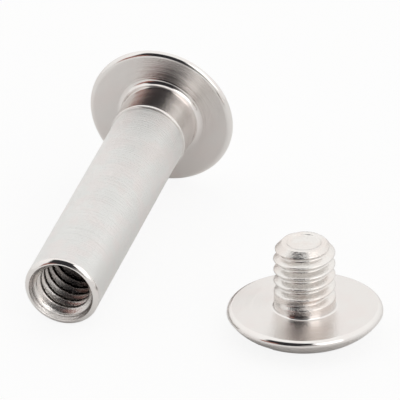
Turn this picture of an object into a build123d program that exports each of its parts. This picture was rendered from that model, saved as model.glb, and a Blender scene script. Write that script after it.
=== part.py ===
from build123d import *
import math
import os

# Binding barrel screw, unscrewed: the screw stands on its crown and the barrel lies beside it
# on its head rim and its mouth edge. +Z is up, the floor is Z = 0, all sizes are millimetres.

# Heads: both pieces carry the same low-crowned round head with a straight driver slot.
HEAD_R = 5.2
HEAD_T = 1.85
CROWN_R = 2.4
RIM_FILLET = 0.36
SLOT_W = 1.1
SLOT_DEPTH = 0.75

# Thread: 8-32 unified, right-handed, 60 degree flanks.
PITCH = 25.4 / 32
MAJOR_R = 4.166 / 2
THREAD_H = PITCH * math.sqrt(3) / 2
PITCH_R = MAJOR_R - 3 / 8 * THREAD_H
TAN_FLANK = math.tan(math.radians(30))
CREST_CLEARANCE = 0.03
FLANK_CLEARANCE = 0.02

# Screw stud.
STUD_L = 4.76
STUD_R = MAJOR_R - CREST_CLEARANCE
STUD_ROOT_R = MAJOR_R - 5 / 8 * THREAD_H - 2 * CREST_CLEARANCE
STUD_PLAIN_L = 0.75
STUD_TIP_R = 1.5
STUD_TIP_BEVEL_L = 0.62
STUD_BASE_FILLET = 0.14
TIP_DISH_R = 1.17
TIP_DISH_DEPTH = 0.07

# Barrel tube, measured from the flat underside of its head.
TUBE_R = 2.58
TUBE_L = 22.4
NECK_R = 2.71
NECK_L = 3.0
NECK_FILLET = 0.42
MOUTH_ROUND_R = 0.55
MOUTH_ROUND_L = 0.47
MOUTH_CREST_W = 0.05
MOUTH_SINK_L = 0.42
BORE_R = MAJOR_R - 1 / 2 * THREAD_H
BORE_GROOVE_R = MAJOR_R + CREST_CLEARANCE
BORE_LEAD = 0.1
BORE_L = 19.5
BORE_THREAD_TURNS = 8
DRILL_POINT_ANGLE = 118

# Layout on the floor: the screw's foot relative to the plan position of the barrel's rim.
SCREW_DX = 15.83
SCREW_DY = -19.01
BARREL_SLOT_TURN = 35
SCREW_SLOT_TURN = -20

# Rounds are made of narrow cone bands, each turning through about this angle.
BAND_ANGLE = 22.5

# Run-outs: how far a cut overshoots the material it leaves.
OVER = 0.3
GROOVE_OVER = 0.05
RUNOUT_TURNS = 0.5


def round_points(centre, radius, start, end):
    """Points (radius, height) along a round, from angle start to angle end in degrees."""
    bands = math.ceil(abs(end - start) / BAND_ANGLE)
    angles = [math.radians(start + (end - start) * i / bands) for i in range(bands + 1)]
    return [(centre[0] + radius * math.cos(a), centre[1] + radius * math.sin(a)) for a in angles]


def head_points():
    """Head profile from the crown's centre to the rim's underside, underside on Z = 0."""
    # The shoulder round leaves the flat crown tangentially and ends on the rim.
    run = HEAD_R - CROWN_R
    rise = HEAD_T - RIM_FILLET
    shoulder_r = (run**2 + rise**2) / (2 * rise)
    sweep_angle = math.degrees(2 * math.atan2(rise, run))
    shoulder = round_points((CROWN_R, shoulder_r - HEAD_T), shoulder_r, -90, sweep_angle - 90)
    rim = round_points((HEAD_R - RIM_FILLET, -RIM_FILLET), RIM_FILLET, 0, 90)
    return [(0, -HEAD_T)] + shoulder + rim[1:]


def turned(points):
    """A solid of revolution about Z from a closed profile of (radius, height) points."""
    face = make_face(Plane.XZ * Polyline(*points, close=True))
    return revolve(face, Axis.Z)


def driver_slot(turn):
    """The straight slot milled right across a crown."""
    slot = Box(SLOT_W, 3 * HEAD_R, SLOT_DEPTH + OVER, align=(Align.CENTER, Align.CENTER, Align.MAX))
    return Pos(0, 0, -HEAD_T + SLOT_DEPTH) * Rot(0, 0, turn) * slot


def groove_section(helix, inner, outer):
    """Thread groove across the start of a helix; inner and outer are (radius, half width)."""
    start = helix @ 0
    radial = Vector(start.X, start.Y, 0).normalized()
    plane = Plane(origin=start, x_dir=radial, z_dir=helix % 0)
    helix_r = math.hypot(start.X, start.Y)
    points = [
        (inner[0] - helix_r, -inner[1]),
        (outer[0] - helix_r, -outer[1]),
        (outer[0] - helix_r, outer[1]),
        (inner[0] - helix_r, inner[1]),
    ]
    return make_face(plane * Polyline(*points, close=True))


def thread_groove(turns, inner, outer, runout):
    """Groove winding up Z from Z = 0, with a last half turn that leaves the wall by runout."""
    helix = Helix(PITCH, turns * PITCH, PITCH_R)
    full = sweep(groove_section(helix, inner, outer), path=helix, is_frenet=True)
    leave_l = RUNOUT_TURNS * PITCH
    cone = math.degrees(math.atan2(runout, leave_l))
    exit_helix = Helix(PITCH, leave_l, PITCH_R, center=(0, 0, turns * PITCH), cone_angle=cone)
    fade = sweep(groove_section(exit_helix, inner, outer), path=exit_helix, is_frenet=True)
    return full, fade


def make_screw():
    """Screw with its underside on Z = 0 and the stud along +Z."""
    base_r = STUD_R + STUD_BASE_FILLET
    shank = [(base_r, 0), (STUD_R, STUD_BASE_FILLET), (0, STUD_BASE_FILLET)]
    head = turned(head_points() + shank) - driver_slot(SCREW_SLOT_TURN)
    # The thread is cut into a plain rod, winding from beyond the tip towards the head.
    rod_l = STUD_L + PITCH
    rod = Pos(0, 0, STUD_BASE_FILLET) * Cylinder(
        STUD_R, rod_l, align=(Align.CENTER, Align.CENTER, Align.MIN)
    )
    turns = math.ceil((rod_l - STUD_PLAIN_L) / PITCH - RUNOUT_TURNS)
    root_half = PITCH / 4 - (PITCH_R - STUD_ROOT_R) * TAN_FLANK + FLANK_CLEARANCE
    outer_r = STUD_R + GROOVE_OVER
    outer_half = PITCH / 4 + (outer_r - PITCH_R) * TAN_FLANK + FLANK_CLEARANCE
    parts = thread_groove(turns, (STUD_ROOT_R, root_half), (outer_r, outer_half), STUD_R - STUD_ROOT_R)
    top = STUD_PLAIN_L + (turns + RUNOUT_TURNS) * PITCH
    for groove in parts:
        rod -= Pos(0, 0, top) * Rot(180, 0, 0) * groove
    # The threaded rod is then faced, bevelled and dished.
    bevel_slope = STUD_TIP_BEVEL_L / (STUD_R - STUD_TIP_R)
    tip = turned(
        [
            (0, STUD_BASE_FILLET),
            (STUD_R + OVER, STUD_BASE_FILLET),
            (STUD_R + OVER, STUD_L - STUD_TIP_BEVEL_L - OVER * bevel_slope),
            (STUD_TIP_R, STUD_L),
            (TIP_DISH_R, STUD_L),
            (TIP_DISH_R - TIP_DISH_DEPTH, STUD_L - TIP_DISH_DEPTH),
            (0, STUD_L - TIP_DISH_DEPTH),
        ]
    )
    return head + (rod & tip)


def make_barrel():
    """Barrel with its underside on Z = 0 and the mouth at Z = TUBE_L."""
    neck = round_points((NECK_R + NECK_FILLET, NECK_FILLET), NECK_FILLET, -90, -180)
    round_end = math.degrees(math.asin(MOUTH_ROUND_L / MOUTH_ROUND_R))
    mouth_centre = (TUBE_R - MOUTH_ROUND_R, TUBE_L - MOUTH_ROUND_L)
    mouth = round_points(mouth_centre, MOUTH_ROUND_R, 0, round_end)
    sink_r = mouth[-1][0] - MOUTH_CREST_W
    lead_r = BORE_GROOVE_R - BORE_LEAD
    drill_tip = TUBE_L - BORE_L - BORE_R / math.tan(math.radians(DRILL_POINT_ANGLE / 2))
    bore = [
        (sink_r, TUBE_L),
        (lead_r, TUBE_L - MOUTH_SINK_L),
        (BORE_R, TUBE_L - MOUTH_SINK_L - (lead_r - BORE_R)),
        (BORE_R, TUBE_L - BORE_L),
        (0, drill_tip),
    ]
    body = turned(head_points() + neck + [(TUBE_R, NECK_L)] + mouth + bore)
    root_half = PITCH / 4 - (BORE_GROOVE_R - PITCH_R) * TAN_FLANK + FLANK_CLEARANCE
    inner_r = BORE_R - GROOVE_OVER
    inner_half = PITCH / 4 + (PITCH_R - inner_r) * TAN_FLANK + FLANK_CLEARANCE
    parts = thread_groove(
        BORE_THREAD_TURNS, (inner_r, inner_half), (BORE_GROOVE_R, root_half), BORE_R - BORE_GROOVE_R
    )
    for groove in parts:
        body -= Pos(0, 0, TUBE_L + PITCH / 2) * Rot(180, 0, 0) * groove
    return body - driver_slot(BARREL_SLOT_TURN)


# The barrel leans on two round edges: the rim of its head and the start of its mouth's round.
lean = math.atan2(HEAD_R - TUBE_R, TUBE_L - MOUTH_ROUND_L + RIM_FILLET)

# The origin is the middle of the set's footprint.
barrel_x = -SCREW_DX / 2
back_y = (HEAD_T - RIM_FILLET) * math.cos(lean) + CROWN_R * math.sin(lean)
barrel_y = -(SCREW_DY - HEAD_R + back_y) / 2

underside = Vector(
    barrel_x,
    barrel_y - RIM_FILLET * math.cos(lean),
    HEAD_R * math.cos(lean) - RIM_FILLET * math.sin(lean),
)
lying = Location(Plane(origin=underside, x_dir=(1, 0, 0), z_dir=(0, -math.cos(lean), -math.sin(lean))))
standing = Pos(barrel_x + SCREW_DX, barrel_y + SCREW_DY, HEAD_T)

pieces = {"barrel": lying * make_barrel(), "screw": standing * make_screw()}

os.makedirs("parts", exist_ok=True)
for name, piece in pieces.items():
    export_step(piece, os.path.join("parts", name + ".step"))
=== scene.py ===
import math

import bmesh
import bpy
import numpy as np
from mathutils import Matrix, Vector


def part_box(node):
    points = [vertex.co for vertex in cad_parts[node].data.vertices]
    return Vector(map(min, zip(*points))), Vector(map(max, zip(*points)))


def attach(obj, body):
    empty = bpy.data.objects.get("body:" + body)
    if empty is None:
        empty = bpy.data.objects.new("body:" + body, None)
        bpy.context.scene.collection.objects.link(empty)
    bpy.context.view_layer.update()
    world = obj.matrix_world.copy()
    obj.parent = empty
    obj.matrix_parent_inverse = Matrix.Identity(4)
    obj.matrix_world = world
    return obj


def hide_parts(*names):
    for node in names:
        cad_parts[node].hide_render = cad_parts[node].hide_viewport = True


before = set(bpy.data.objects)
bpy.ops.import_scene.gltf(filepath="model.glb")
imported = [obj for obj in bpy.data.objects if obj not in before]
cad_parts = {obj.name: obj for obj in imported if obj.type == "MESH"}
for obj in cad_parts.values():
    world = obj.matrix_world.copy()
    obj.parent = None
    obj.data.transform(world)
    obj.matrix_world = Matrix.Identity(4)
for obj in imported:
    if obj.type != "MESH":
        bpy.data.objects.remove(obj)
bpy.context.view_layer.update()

# Binding barrel screw, unscrewed: the barrel leans on the floor beside its standing screw.
# Each piece is turned about Z in millimetres, with the flat underside of its head on Z = 0,
# and is then put at its place in the row. Angles are in degrees.
MM = 0.001

# Heads: both pieces carry the same low-crowned round head with a straight driver slot.
HEAD_R = 5.2
HEAD_T = 1.85
CROWN_R = 2.4
RIM_FILLET = 0.36
SLOT_W = 1.1
SLOT_DEPTH = 0.75
BARREL_SLOT_TURN = 35
SCREW_SLOT_TURN = -20

# Thread: 8-32 unified, right-handed, 60 degree flanks, with rounded crests and roots.
PITCH = 25.4 / 32
MAJOR_R = 2.083
THREAD_H = PITCH * math.sqrt(3) / 2
PITCH_R = MAJOR_R - 3 / 8 * THREAD_H
TAN_FLANK = math.tan(math.pi / 6)
CREST_CLEARANCE = 0.03
FLANK_CLEARANCE = 0.02
CORNER_W = 0.16
RUNOUT_TURNS = 0.5

# Screw stud, measured from the underside of its head.
STUD_L = 4.76
STUD_R = MAJOR_R - CREST_CLEARANCE
STUD_ROOT_R = MAJOR_R - 5 / 8 * THREAD_H - 2 * CREST_CLEARANCE
STUD_PLAIN_L = 0.75
STUD_FOOT_L = 0.3
STUD_BASE_FILLET = 0.14
TIP_R = 1.5
TIP_BEVEL_L = 0.62
TIP_BEVEL_OVER = 0.3  # how far the bevel's cone runs on past the crests
TIP_EDGE_W = 0.06
DISH_R = 1.17
DISH_DEPTH = 0.07

# Barrel tube, measured from the underside of its head.
TUBE_R = 2.58
TUBE_L = 22.4
NECK_R = 2.71
NECK_L = 3.0
NECK_FILLET = 0.42
NECK_EDGE_R = 0.05
NECK_STEP_L = 0.02
MOUTH_REST_L = 0.47  # from the mouth back to where the tube rests on the floor
MOUTH_BAND_R = 0.6
MOUTH_BAND_FROM = 25
MOUTH_BAND_TO = 65
MOUTH_BAND_EDGE_L = 0.015
MOUTH_CREST_W = 0.05
MOUTH_SINK_L = 0.42
BORE_R = MAJOR_R - 1 / 2 * THREAD_H
BORE_GROOVE_R = MAJOR_R + CREST_CLEARANCE
BORE_LEAD = 0.1
BORE_EDGE_W = 0.03
BORE_L = 19.5
BORE_THREAD_TURNS = 8
DRILL_POINT_ANGLE = 118

# Meshes: columns round every turned surface, rows along one pitch of a thread, steps of a
# groove's depth across one pitch, and the angle from which an edge is sharp. Points closer
# than WELD become one, and heights and radii closer than TINY count as the same.
SIDES = 160
ROWS = 20
GROOVE_STEPS = 400
SHARP_ANGLE = 55
TINY = 1e-6
WELD = 0.0002

# Nicks as (angle in degrees, radius, height, reach, depth), and those scattered at random:
# how many, the heights they lie between, and the least and most of their reach and depth.
TUBE_NICKS = [
    (45, TUBE_R, 6.6, 0.16, 0.035),
    (47, TUBE_R, 5.9, 0.13, 0.025),
    (30, TUBE_R, 6.5, 0.15, 0.03),
]
TIP_NICKS = [
    (128, TIP_R, STUD_L, 0.12, 0.07),
    (118, TIP_R, STUD_L, 0.10, 0.05),
    (62, TIP_R, STUD_L, 0.13, 0.06),
]
TUBE_SCATTER = {"count": 60, "start": 4, "end": 20, "reach": (0.1, 0.2), "depth": (0.006, 0.018)}
TIP_SCATTER = {
    "count": 14, "start": STUD_L, "end": STUD_L - 0.3, "reach": (0.08, 0.16), "depth": (0.01, 0.03),
}

# Nickel plate in four states: satin tube, polished heads and edges, grained threads, and flat
# faces with fine rings. Each has two shades, a roughness with its spread, and the heights of
# its grain and of its turned rings as shares of BUMP_H.
FINISHES = {
    "tube": {
        "shade": (0.80, 0.795, 0.78), "patch": (0.815, 0.78, 0.765),
        "rough": 0.36, "spread": 0.24, "grain_h": 0.45, "ring_h": 0.9,
    },
    "polish": {
        "shade": (0.79, 0.765, 0.745), "patch": (0.78, 0.74, 0.72),
        "rough": 0.09, "spread": 0.05, "grain_h": 0.01, "ring_h": 0.02,
    },
    "thread": {
        "shade": (0.80, 0.775, 0.75), "patch": (0.79, 0.735, 0.70),
        "rough": 0.25, "spread": 0.18, "grain_h": 0.22, "ring_h": 0.06,
    },
    "face": {
        "shade": (0.765, 0.735, 0.715), "patch": (0.765, 0.72, 0.70),
        "rough": 0.20, "spread": 0.10, "grain_h": 0.10, "ring_h": 0.25,
    },
}
TUBE, POLISH, THREAD, FACE = range(len(FINISHES))
PATCHES_PER_MM = 0.45
PATCH_EDGE = 0.42, 0.62
GRAINS_PER_MM = 7.0
RINGS_PER_MM = 9.0
BUMP_H = 0.1

# Painted shade down in the bore: the dark colour mixed into the plating there, and the heights
# where it gives way.
BORE_SHADE = (0.20, 0.175, 0.165)
BORE_SHADE_EDGE = TUBE_L - 5.5, TUBE_L - 0.8

# Sky: brightness at the horizon and overhead, and soft-edged cards on it, each as azimuth,
# elevation, width, height and softness in degrees, and a colour.
HORIZON = (0.96, 0.96, 0.95)
OVERHEAD = (1.12, 1.12, 1.11)
OVERHEAD_FROM = 0.75
CARDS = [
    (-98, 26, 64, 76, 4, (0.035, 0.034, 0.037)),   # dark room round the camera
    (-126, 6, 26, 26, 4, (0.36, 0.17, 0.14)),      # warm patch at its left
    (-66, 8, 24, 26, 7, (0.42, 0.41, 0.40)),       # grey patch at its right
    (-37, 30, 36, 44, 3, (1.7, 1.69, 1.67)),       # soft box further right
]

# Floor: a pale sheet, its reach from the middle in millimetres, lit up where the camera sees it.
FLOOR_REACH = 1200
FLOOR_COLOUR = (0.88, 0.875, 0.87)
FLOOR_GLOW = 0.88

# Camera: its target on the floor, its distance and the width of view there, in millimetres,
# and, in degrees, the way it looks, how far it looks down and how far it is rolled.
CAMERA_TARGET = (-4.523, 8.959, 0)
CAMERA_DISTANCE = 353.648
CAMERA_VIEW_W = 27.9427
CAMERA_AZIMUTH = 107.65
CAMERA_ELEVATION = 26.56
CAMERA_ROLL = -1.35
SENSOR_W = 36


# ---------------------------------------------------------------- materials

class Graph:
    """Short calls for building the node tree of a material or a world."""

    def __init__(self, owner):
        owner.use_nodes = True
        self.tree = owner.node_tree
        self.tree.nodes.clear()

    def node(self, kind, inputs=None, **settings):
        """A new node; its inputs are sockets to link or constants, by name or number."""
        made = self.tree.nodes.new(kind)
        for key, value in settings.items():
            setattr(made, key, value)
        for key, value in (inputs or {}).items():
            if isinstance(value, bpy.types.NodeSocket):
                self.tree.links.new(value, made.inputs[key])
            else:
                made.inputs[key].default_value = value
        return made

    def math(self, operation, *values):
        return self.node("ShaderNodeMath", dict(enumerate(values)), operation=operation).outputs[0]

    def vector(self, operation, *values):
        """The plain number that a vector operation gives."""
        made = self.node("ShaderNodeVectorMath", dict(enumerate(values)), operation=operation)
        return made.outputs["Value"]

    def combine(self, x, y):
        return self.node("ShaderNodeCombineXYZ", {"X": x, "Y": y}).outputs[0]

    def noise(self, vector, scale, detail, roughness):
        inputs = {"Vector": vector, "Scale": scale, "Detail": detail, "Roughness": roughness}
        return self.node("ShaderNodeTexNoise", inputs).outputs["Fac"]

    def step(self, value, low, high, start=0.0, end=1.0):
        """A smooth step from start to end while value goes from low to high."""
        inputs = {"Value": value, "From Min": low, "From Max": high, "To Min": start, "To Max": end}
        return self.node("ShaderNodeMapRange", inputs, interpolation_type="SMOOTHSTEP").outputs[0]

    def mix(self, factor, a, b):
        """A mix of two colours."""
        return self.node("ShaderNodeMix", {0: factor, 6: a, 7: b}, data_type="RGBA").outputs[2]


def rgb(colour):
    return (*colour, 1)


def nickel(name, place, shade, patch, rough, spread, grain_h, ring_h, paint_bore_shade):
    """Nickel plate in one state, on the piece at place, with painted shade deep in the bore when
    the last argument is set.
    """
    material = bpy.data.materials.new(name)
    g = Graph(material)
    # Millimetres from the middle of the head's underside, Z along the piece.
    mapping = {
        "Vector": g.node("ShaderNodeTexCoord").outputs["Object"],
        "Location": place.to_translation(),
        "Rotation": place.to_euler(),
        "Scale": (MM, MM, MM),
    }
    here = g.node("ShaderNodeMapping", mapping, vector_type="TEXTURE").outputs[0]
    x, y, z = g.node("ShaderNodeSeparateXYZ", {"Vector": here}).outputs
    radius = g.vector("LENGTH", g.combine(x, y))
    patches = g.noise(here, PATCHES_PER_MM, 3.0, 0.6)
    grain = g.noise(here, GRAINS_PER_MM, 4.0, 0.6)
    rings = g.noise(g.combine(radius, z), RINGS_PER_MM, 5.0, 0.7)
    colour = g.mix(g.step(patches, *PATCH_EDGE), rgb(shade), rgb(patch))
    # Painted shade: the colour darkens towards the bottom of the bore, where the bore lies in
    # shade.
    if paint_bore_shade:
        colour = g.mix(g.step(z, *BORE_SHADE_EDGE), rgb(BORE_SHADE), colour)
    height = g.math("MULTIPLY_ADD", rings, ring_h, g.math("MULTIPLY", grain, grain_h))
    bump = {"Height": height, "Strength": 1.0, "Distance": BUMP_H * MM}
    plating = {
        "Metallic": 1.0,
        "Base Color": colour,
        "Roughness": g.math("MULTIPLY_ADD", grain, spread, rough - spread / 2),
        "Normal": g.node("ShaderNodeBump", bump).outputs[0],
    }
    shader = g.node("ShaderNodeBsdfPrincipled", plating).outputs[0]
    g.node("ShaderNodeOutputMaterial", {"Surface": shader})
    return material


# ---------------------------------------------------------------- profiles

def arc(centre, radius, start, end, count):
    """Points (radius, height) on a round, from angle start to end in degrees."""
    angles = np.radians(np.linspace(start, end, count))
    return [(centre[0] + radius * math.cos(a), centre[1] + radius * math.sin(a)) for a in angles]


def line(a, b, count):
    """Points from a to b, both included."""
    return [(a[0] + (b[0] - a[0]) * t, a[1] + (b[1] - a[1]) * t) for t in np.linspace(0, 1, count)]


def join(*runs):
    """Runs of points end to end, with doubled points left out."""
    points = []
    for run in runs:
        for p in run:
            if not points or math.dist(p, points[-1]) > TINY:
                points.append(p)
    return points


def head_profile():
    """The head from its crown's middle to the rim's underside."""
    # The shoulder round leaves the flat crown tangentially and ends on the rim.
    run = HEAD_R - CROWN_R
    rise = HEAD_T - RIM_FILLET
    shoulder_r = (run ** 2 + rise ** 2) / (2 * rise)
    sweep = math.degrees(2 * math.atan2(rise, run))
    return join(
        line((0, -HEAD_T), (CROWN_R, -HEAD_T), 10),
        arc((CROWN_R, shoulder_r - HEAD_T), shoulder_r, -90, sweep - 90, 28),
        arc((HEAD_R - RIM_FILLET, -RIM_FILLET), RIM_FILLET, 0, 90, 20),
    )


def softened(distance, values, width):
    """Repeating values over distance, evened out over width, so that corners are rounded."""
    step = distance[1] - distance[0]
    size = max(3, int(width / step) | 1)
    kernel = np.hanning(size + 2)[1:-1]
    kernel /= kernel.sum()
    padded = np.concatenate([values[-size:], values, values[:size]])
    return np.convolve(padded, kernel, "same")[size:-size]


def groove_depth(root_r, crest_r):
    """The depth of a thread's groove, as a function of the distance from its middle."""
    root_half = PITCH / 4 - abs(root_r - PITCH_R) * TAN_FLANK + FLANK_CLEARANCE
    depth = abs(crest_r - root_r)
    off = np.linspace(-PITCH / 2, PITCH / 2, GROOVE_STEPS + 1)[:-1]
    raw = np.clip(depth - (np.abs(off) - root_half) / TAN_FLANK, 0, depth)
    smooth = softened(off, raw, CORNER_W)
    return lambda x: np.interp(x, np.append(off, PITCH / 2), np.append(smooth, smooth[0]))


def soft_min(a, b, width):
    """The smaller of two values, with the change between them rounded over width."""
    h = np.clip(0.5 + 0.5 * (b - a) / width, 0, 1)
    return b * (1 - h) + a * h - width * h * (1 - h)


def run_in(z, start):
    """From 0 to 1 over the run-out that begins at start."""
    t = np.clip((z - start) / (RUNOUT_TURNS * PITCH), 0, 1)
    return t * t * (3 - 2 * t)


# ---------------------------------------------------------------- meshes

def add_object(name, mesh):
    o = bpy.data.objects.new(name, mesh)
    bpy.context.scene.collection.objects.link(o)
    return o


def nicks(random, radius, count, start, end, reach, depth):
    """Nicks at random round a radius, between the heights start and end."""
    marks = []
    for _ in range(count):
        angle = random.uniform(0, 360)
        z = start + (end - start) * random.uniform(0, 1)
        marks.append((angle, radius, z, random.uniform(*reach), random.uniform(*depth)))
    return marks


def dented(points, marks):
    """The points with every nick pushed in towards the axis."""
    for angle, r, z, reach, depth in marks:
        a = math.radians(angle)
        away = np.linalg.norm(points - np.array([r * math.cos(a), r * math.sin(a), z]), axis=1)
        push = depth * np.exp(-((away / reach) ** 2))
        wide = np.maximum(np.hypot(points[:, 0], points[:, 1]), TINY)
        points[:, :2] *= (1 - push / wide)[:, None]
    return points


class Skin:
    """Vertices and faces of one watertight turned piece, in millimetres, axis along Z."""

    def __init__(self):
        self.points, self.faces, self.marks = [], [], []
        self.count = 0

    def add(self, points, faces, marks):
        self.points.append(np.asarray(points, float))
        self.faces += [tuple(i + self.count for i in f) for f in faces]
        self.marks += marks
        self.count += len(points)

    def turn(self, profile, mark):
        """A surface of revolution from (radius, height) points, with one finish."""
        angle = 2 * np.pi * np.arange(SIDES) / SIDES
        points = []
        for r, z in profile:
            points += [(r * math.cos(a), r * math.sin(a), z) for a in angle]
        faces = []
        for i in range(len(profile) - 1):
            a, b = i * SIDES, (i + 1) * SIDES
            for j in range(SIDES):
                k = (j + 1) % SIDES
                faces.append((a + j, a + k, b + k, b + j))
        self.add(points, faces, [mark] * len(faces))

    def thread(self, low, high, groove_z, radius, end_radii, face_from=math.inf):
        """A threaded wall from height low to high, in rows that follow the helix.

        groove_z is a height of the groove's middle at angle 0. radius gives the wall from a
        height and a distance from the groove's middle, and end_radii are those at low and high.
        Above face_from, the wall has the finish of a plain face.
        """
        first = math.floor((low - groove_z) / PITCH) - 1
        start = groove_z + first * PITCH
        last = math.ceil((high - start) / PITCH * ROWS) + ROWS + 1
        i, j = np.meshgrid(np.arange(last + 1), np.arange(SIDES), indexing="ij")
        z = np.clip(start + (i / ROWS + j / SIDES) * PITCH, low, high)
        phase = (z - start) / PITCH - j / SIDES
        phase = phase - np.round(phase)
        r = radius(z, phase * PITCH)
        r = np.where(z >= high - TINY, end_radii[1], r)
        r = np.where(z <= low + TINY, end_radii[0], r)
        angle = 2 * np.pi * j / SIDES
        points = np.stack([r * np.cos(angle), r * np.sin(angle), z], -1).reshape(-1, 3)
        # The last column meets the first one a whole turn, ROWS rows, further up.
        faces = []
        for a in range(last - ROWS):
            for b in range(SIDES):
                c, d = (a, b + 1) if b + 1 < SIDES else (a + ROWS, 0)
                quad = (a, b), (c, d), (c + 1, d), (a + 1, b)
                faces.append(tuple(row * SIDES + column for row, column in quad))
        lowest = points[np.array(faces), 2].min(axis=1)
        self.add(points, faces, np.where(lowest > face_from, FACE, THREAD).tolist())

    def piece(self, name, place, marks, paint_bore_shade=False):
        """The Blender object with its nicks and finishes, at its place in the row, and painted
        shade on the thread finish deep in the bore when the last argument is set.
        """
        points = dented(np.concatenate(self.points), marks)
        mesh = bpy.data.meshes.new(name)
        mesh.from_pydata((points * MM).tolist(), [], self.faces)
        mesh.polygons.foreach_set("material_index", self.marks)
        for kind, finish in FINISHES.items():
            # Painted shade in the bore goes on the thread finish only.
            bore_shade = paint_bore_shade and kind == "thread"
            mesh.materials.append(nickel(name + "_" + kind, place, **finish, paint_bore_shade=bore_shade))
        b = bmesh.new()
        b.from_mesh(mesh)
        bmesh.ops.remove_doubles(b, verts=b.verts, dist=WELD * MM)
        bmesh.ops.recalc_face_normals(b, faces=b.faces)
        b.to_mesh(mesh)
        b.free()
        mesh.transform(place)
        return add_object(name, mesh)


def cut_slot(o, place, turn):
    """Mills the driver slot right across the crown, with a cutter that runs well past the head."""
    length = 3.2 * HEAD_R
    low, high = -3 * HEAD_T, SLOT_DEPTH - HEAD_T
    mesh = bpy.data.meshes.new("cutter")
    b = bmesh.new()
    bmesh.ops.create_cube(b, size=1)
    for v in b.verts:
        v.co = Vector((SLOT_W * v.co.x, length * v.co.y, low if v.co.z < 0 else high)) * MM
    b.to_mesh(mesh)
    b.free()
    cutter = add_object("cutter", mesh)
    cutter.matrix_world = place @ Matrix.Rotation(math.radians(turn), 4, "Z")
    slot = o.modifiers.new("slot", "BOOLEAN")
    slot.operation = "DIFFERENCE"
    slot.solver = "MANIFOLD"
    slot.object = cutter
    bpy.context.view_layer.update()
    milled = o.evaluated_get(bpy.context.evaluated_depsgraph_get())
    o.data = bpy.data.meshes.new_from_object(milled)
    o.modifiers.clear()
    bpy.data.objects.remove(cutter)


# ---------------------------------------------------------------- barrel and screw

def barrel_skin():
    """The barrel from its crown along the outside to the mouth and back down the bore."""
    skin = Skin()
    skin.turn(head_profile(), POLISH)
    skin.turn(line((HEAD_R - RIM_FILLET, 0), (NECK_R + NECK_FILLET, 0), 14), FACE)
    neck_edge = (NECK_R - NECK_EDGE_R, NECK_L - NECK_EDGE_R)
    tube_start = (TUBE_R, NECK_L + NECK_STEP_L)
    neck = join(
        arc((NECK_R + NECK_FILLET, NECK_FILLET), NECK_FILLET, -90, -180, 16),
        line((NECK_R, NECK_FILLET), (NECK_R, NECK_L - NECK_EDGE_R), 16),
        arc(neck_edge, NECK_EDGE_R, 0, 90, 5),
        line((NECK_R - NECK_EDGE_R, NECK_L), tube_start, 3),
    )
    skin.turn(neck, POLISH)
    # The polished band round the mouth's edge starts in a faint corner on the tube.
    band_centre = (
        TUBE_R - MOUTH_BAND_R * math.cos(math.radians(MOUTH_BAND_FROM)),
        TUBE_L - MOUTH_BAND_R * math.sin(math.radians(MOUTH_BAND_TO)),
    )
    band = arc(band_centre, MOUTH_BAND_R, MOUTH_BAND_FROM, MOUTH_BAND_TO, 12)
    tube_end = (TUBE_R, band[0][1] - MOUTH_BAND_EDGE_L)
    sink_r = band[-1][0] - MOUTH_CREST_W
    skin.turn(line(tube_start, tube_end, 190), TUBE)
    skin.turn(join([tube_end], band, line(band[-1], (sink_r, TUBE_L), 4)), POLISH)

    depth = groove_depth(BORE_GROOVE_R, BORE_R)
    groove_end = TUBE_L + PITCH / 2 - (BORE_THREAD_TURNS + RUNOUT_TURNS) * PITCH
    lead_r = BORE_GROOVE_R - BORE_LEAD
    sink_low = TUBE_L - MOUTH_SINK_L
    sink = [sink_low - (lead_r - BORE_R), sink_low, TUBE_L], [BORE_R, lead_r, sink_r]

    def radius(z, off):
        wall = BORE_R + depth(off) * run_in(z - off, groove_end)
        return -soft_min(-wall, -np.interp(z, *sink), BORE_EDGE_W)

    low = groove_end - PITCH
    skin.thread(low, TUBE_L, TUBE_L + PITCH / 2, radius, (BORE_R, sink_r), sink_low)
    bottom = (BORE_R, TUBE_L - BORE_L)
    drill_tip = bottom[1] - BORE_R / math.tan(math.radians(DRILL_POINT_ANGLE / 2))
    skin.turn(join(line((BORE_R, low), bottom, 12), line(bottom, (0, drill_tip), 6)), THREAD)
    return skin


def screw_skin():
    """The screw from its crown round the rim, up the stud and to the middle of its tip."""
    skin = Skin()
    skin.turn(head_profile(), POLISH)
    foot_r = STUD_R + STUD_BASE_FILLET
    skin.turn(line((HEAD_R - RIM_FILLET, 0), (foot_r, 0), 18), FACE)
    foot = join(
        arc((foot_r, STUD_BASE_FILLET), STUD_BASE_FILLET, -90, -180, 8),
        line((STUD_R, STUD_BASE_FILLET), (STUD_R, STUD_FOOT_L), 4),
    )
    skin.turn(foot, POLISH)

    # The groove winds from beyond the tip towards the head and runs out there.
    depth = groove_depth(STUD_ROOT_R, STUD_R)
    turns = math.ceil((STUD_L + PITCH - STUD_PLAIN_L) / PITCH - RUNOUT_TURNS)
    groove_start = STUD_PLAIN_L + (turns + RUNOUT_TURNS) * PITCH
    bevel_low = STUD_L - TIP_BEVEL_L - TIP_BEVEL_OVER
    bevel_r = STUD_R + TIP_BEVEL_OVER * (STUD_R - TIP_R) / TIP_BEVEL_L
    bevel = [bevel_low, STUD_L], [bevel_r, TIP_R]

    def radius(z, off):
        wall = STUD_R - depth(off) * run_in(z - off, STUD_PLAIN_L)
        return soft_min(wall, np.interp(z, *bevel), TIP_EDGE_W)

    skin.thread(STUD_FOOT_L, STUD_L, groove_start, radius, (STUD_R, TIP_R))
    dish_z = STUD_L - DISH_DEPTH
    tip = join(
        line((TIP_R, STUD_L), (DISH_R, STUD_L), 5),
        line((DISH_R, STUD_L), (DISH_R - DISH_DEPTH, dish_z), 4),
        line((DISH_R - DISH_DEPTH, dish_z), (0, dish_z), 10),
    )
    skin.turn(tip, THREAD)
    return skin


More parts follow.
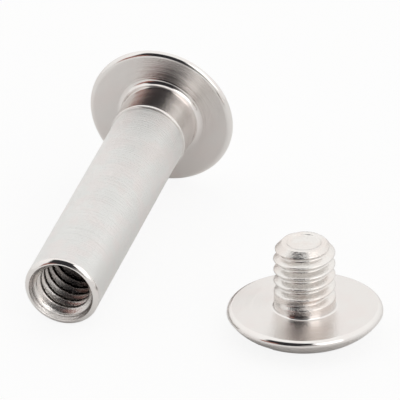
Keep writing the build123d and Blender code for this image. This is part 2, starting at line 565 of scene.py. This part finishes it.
def barrel_place():
    """The barrel leans on the rim of its head and on the tube's underside near the mouth."""
    low, high = (Vector(corner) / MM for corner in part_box("barrel"))
    lean = math.atan2(HEAD_R - TUBE_R, TUBE_L - MOUTH_REST_L + RIM_FILLET)
    back = (HEAD_T - RIM_FILLET) * math.cos(lean) + CROWN_R * math.sin(lean)
    underside = Vector(
        (
            (low.x + high.x) / 2,
            high.y - back - RIM_FILLET * math.cos(lean),
            low.z + HEAD_R * math.cos(lean) - RIM_FILLET * math.sin(lean),
        )
    )
    side = Vector((1, 0, 0))
    along = Vector((0, -math.cos(lean), -math.sin(lean)))
    axes = Matrix((side, along.cross(side), along)).transposed().to_4x4()
    return Matrix.Translation(underside * MM) @ axes


def screw_place():
    """The screw stands on its crown."""
    low, high = (Vector(corner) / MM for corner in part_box("screw"))
    underside = Vector(((low.x + high.x) / 2, (low.y + high.y) / 2, low.z + HEAD_T))
    return Matrix.Translation(underside * MM)


random = np.random.default_rng(7)

tube_nicks = TUBE_NICKS + nicks(random, TUBE_R, **TUBE_SCATTER)
place = barrel_place()
# The barrel's bore gets painted shade towards its bottom.
barrel = barrel_skin().piece("barrel_body", place, tube_nicks, paint_bore_shade=True)
cut_slot(barrel, place, BARREL_SLOT_TURN)

tip_nicks = TIP_NICKS + nicks(random, TIP_R, **TIP_SCATTER)
place = screw_place()
screw = screw_skin().piece("screw_body", place, tip_nicks)
cut_slot(screw, place, SCREW_SLOT_TURN)

for piece, node in ((barrel, "barrel"), (screw, "screw")):
    piece.data.polygons.foreach_set("use_smooth", [True] * len(piece.data.polygons))
    piece.data.set_sharp_from_angle(angle=math.radians(SHARP_ANGLE))
    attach(piece, "root")
    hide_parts(node)


# ---------------------------------------------------------------- floor and light

def direction(azimuth, elevation):
    """Unit vector from two angles in degrees; azimuth is from +X towards +Y."""
    a, e = math.radians(azimuth), math.radians(elevation)
    return Vector((math.cos(e) * math.cos(a), math.cos(e) * math.sin(a), math.sin(e)))


def card(g, where, sky, azimuth, elevation, width, height, soft, colour):
    """The sky with a soft-edged rectangle of light or dark on it, sizes in degrees."""
    middle = direction(azimuth, elevation)
    across = Vector((-middle.y, middle.x, 0)).normalized()
    up = middle.cross(across)
    ahead = g.vector("DOT_PRODUCT", where, tuple(middle))
    edge = math.radians(soft)
    masks = []
    for axis, size in ((across, width), (up, height)):
        angle = g.math("ARCTAN2", g.vector("DOT_PRODUCT", where, tuple(axis)), ahead)
        half = math.radians(size / 2)
        masks.append(g.step(g.math("ABSOLUTE", angle), half - edge, half + edge, 1.0, 0.0))
    return g.mix(g.math("MULTIPLY", *masks), sky, rgb(colour))


reach = FLOOR_REACH * MM
mesh = bpy.data.meshes.new("floor")
corners = [(-reach, -reach, 0), (reach, -reach, 0), (reach, reach, 0), (-reach, reach, 0)]
mesh.from_pydata(corners, [], [(0, 1, 2, 3)])
floor = add_object("floor", mesh)
material = bpy.data.materials.new("floor_white")
g = Graph(material)
seen = g.node("ShaderNodeLightPath").outputs["Is Camera Ray"]
paper = g.node("ShaderNodeBsdfDiffuse", {"Color": rgb(FLOOR_COLOUR)}).outputs[0]
glow = g.node("ShaderNodeEmission", {"Color": rgb((1, 1, 1)), "Strength": 1.0}).outputs[0]
blend = {0: g.math("MULTIPLY", seen, FLOOR_GLOW), 1: paper, 2: glow}
g.node("ShaderNodeOutputMaterial", {"Surface": g.node("ShaderNodeMixShader", blend).outputs[0]})
mesh.materials.append(material)

# The cards show in the metal; the camera itself sees plain white behind the floor.
world = bpy.data.worlds.new("studio")
bpy.context.scene.world = world
g = Graph(world)
where = g.node("ShaderNodeTexCoord").outputs["Generated"]
height = g.node("ShaderNodeSeparateXYZ", {"Vector": where}).outputs[2]
sky = g.mix(g.step(height, 0.0, OVERHEAD_FROM), rgb(HORIZON), rgb(OVERHEAD))
for values in CARDS:
    sky = card(g, where, sky, *values)
seen = g.node("ShaderNodeLightPath").outputs["Is Camera Ray"]
shown = g.mix(seen, sky, rgb((1, 1, 1)))
light = g.node("ShaderNodeBackground", {"Color": shown, "Strength": 1.0}).outputs[0]
g.node("ShaderNodeOutputWorld", {"Surface": light})

# ---------------------------------------------------------------- camera

ahead = direction(CAMERA_AZIMUTH, -CAMERA_ELEVATION)
level = direction(CAMERA_AZIMUTH - 90, 0)
upright = level.cross(ahead)
roll = math.radians(CAMERA_ROLL)
right = math.cos(roll) * level + math.sin(roll) * upright
up = math.cos(roll) * upright - math.sin(roll) * level
camera_data = bpy.data.cameras.new("camera")
camera_data.sensor_width = SENSOR_W
camera_data.lens = SENSOR_W * CAMERA_DISTANCE / CAMERA_VIEW_W
camera_data.clip_start = 10 * MM
camera_data.clip_end = 10000 * MM
camera = add_object("camera", camera_data)
eye = (Vector(CAMERA_TARGET) - ahead * CAMERA_DISTANCE) * MM
camera.matrix_world = Matrix.Translation(eye) @ Matrix((right, up, -ahead)).transposed().to_4x4()
bpy.context.scene.camera = camera

bpy.context.scene.view_settings.view_transform = "Standard"

bpy.context.view_layer.update()
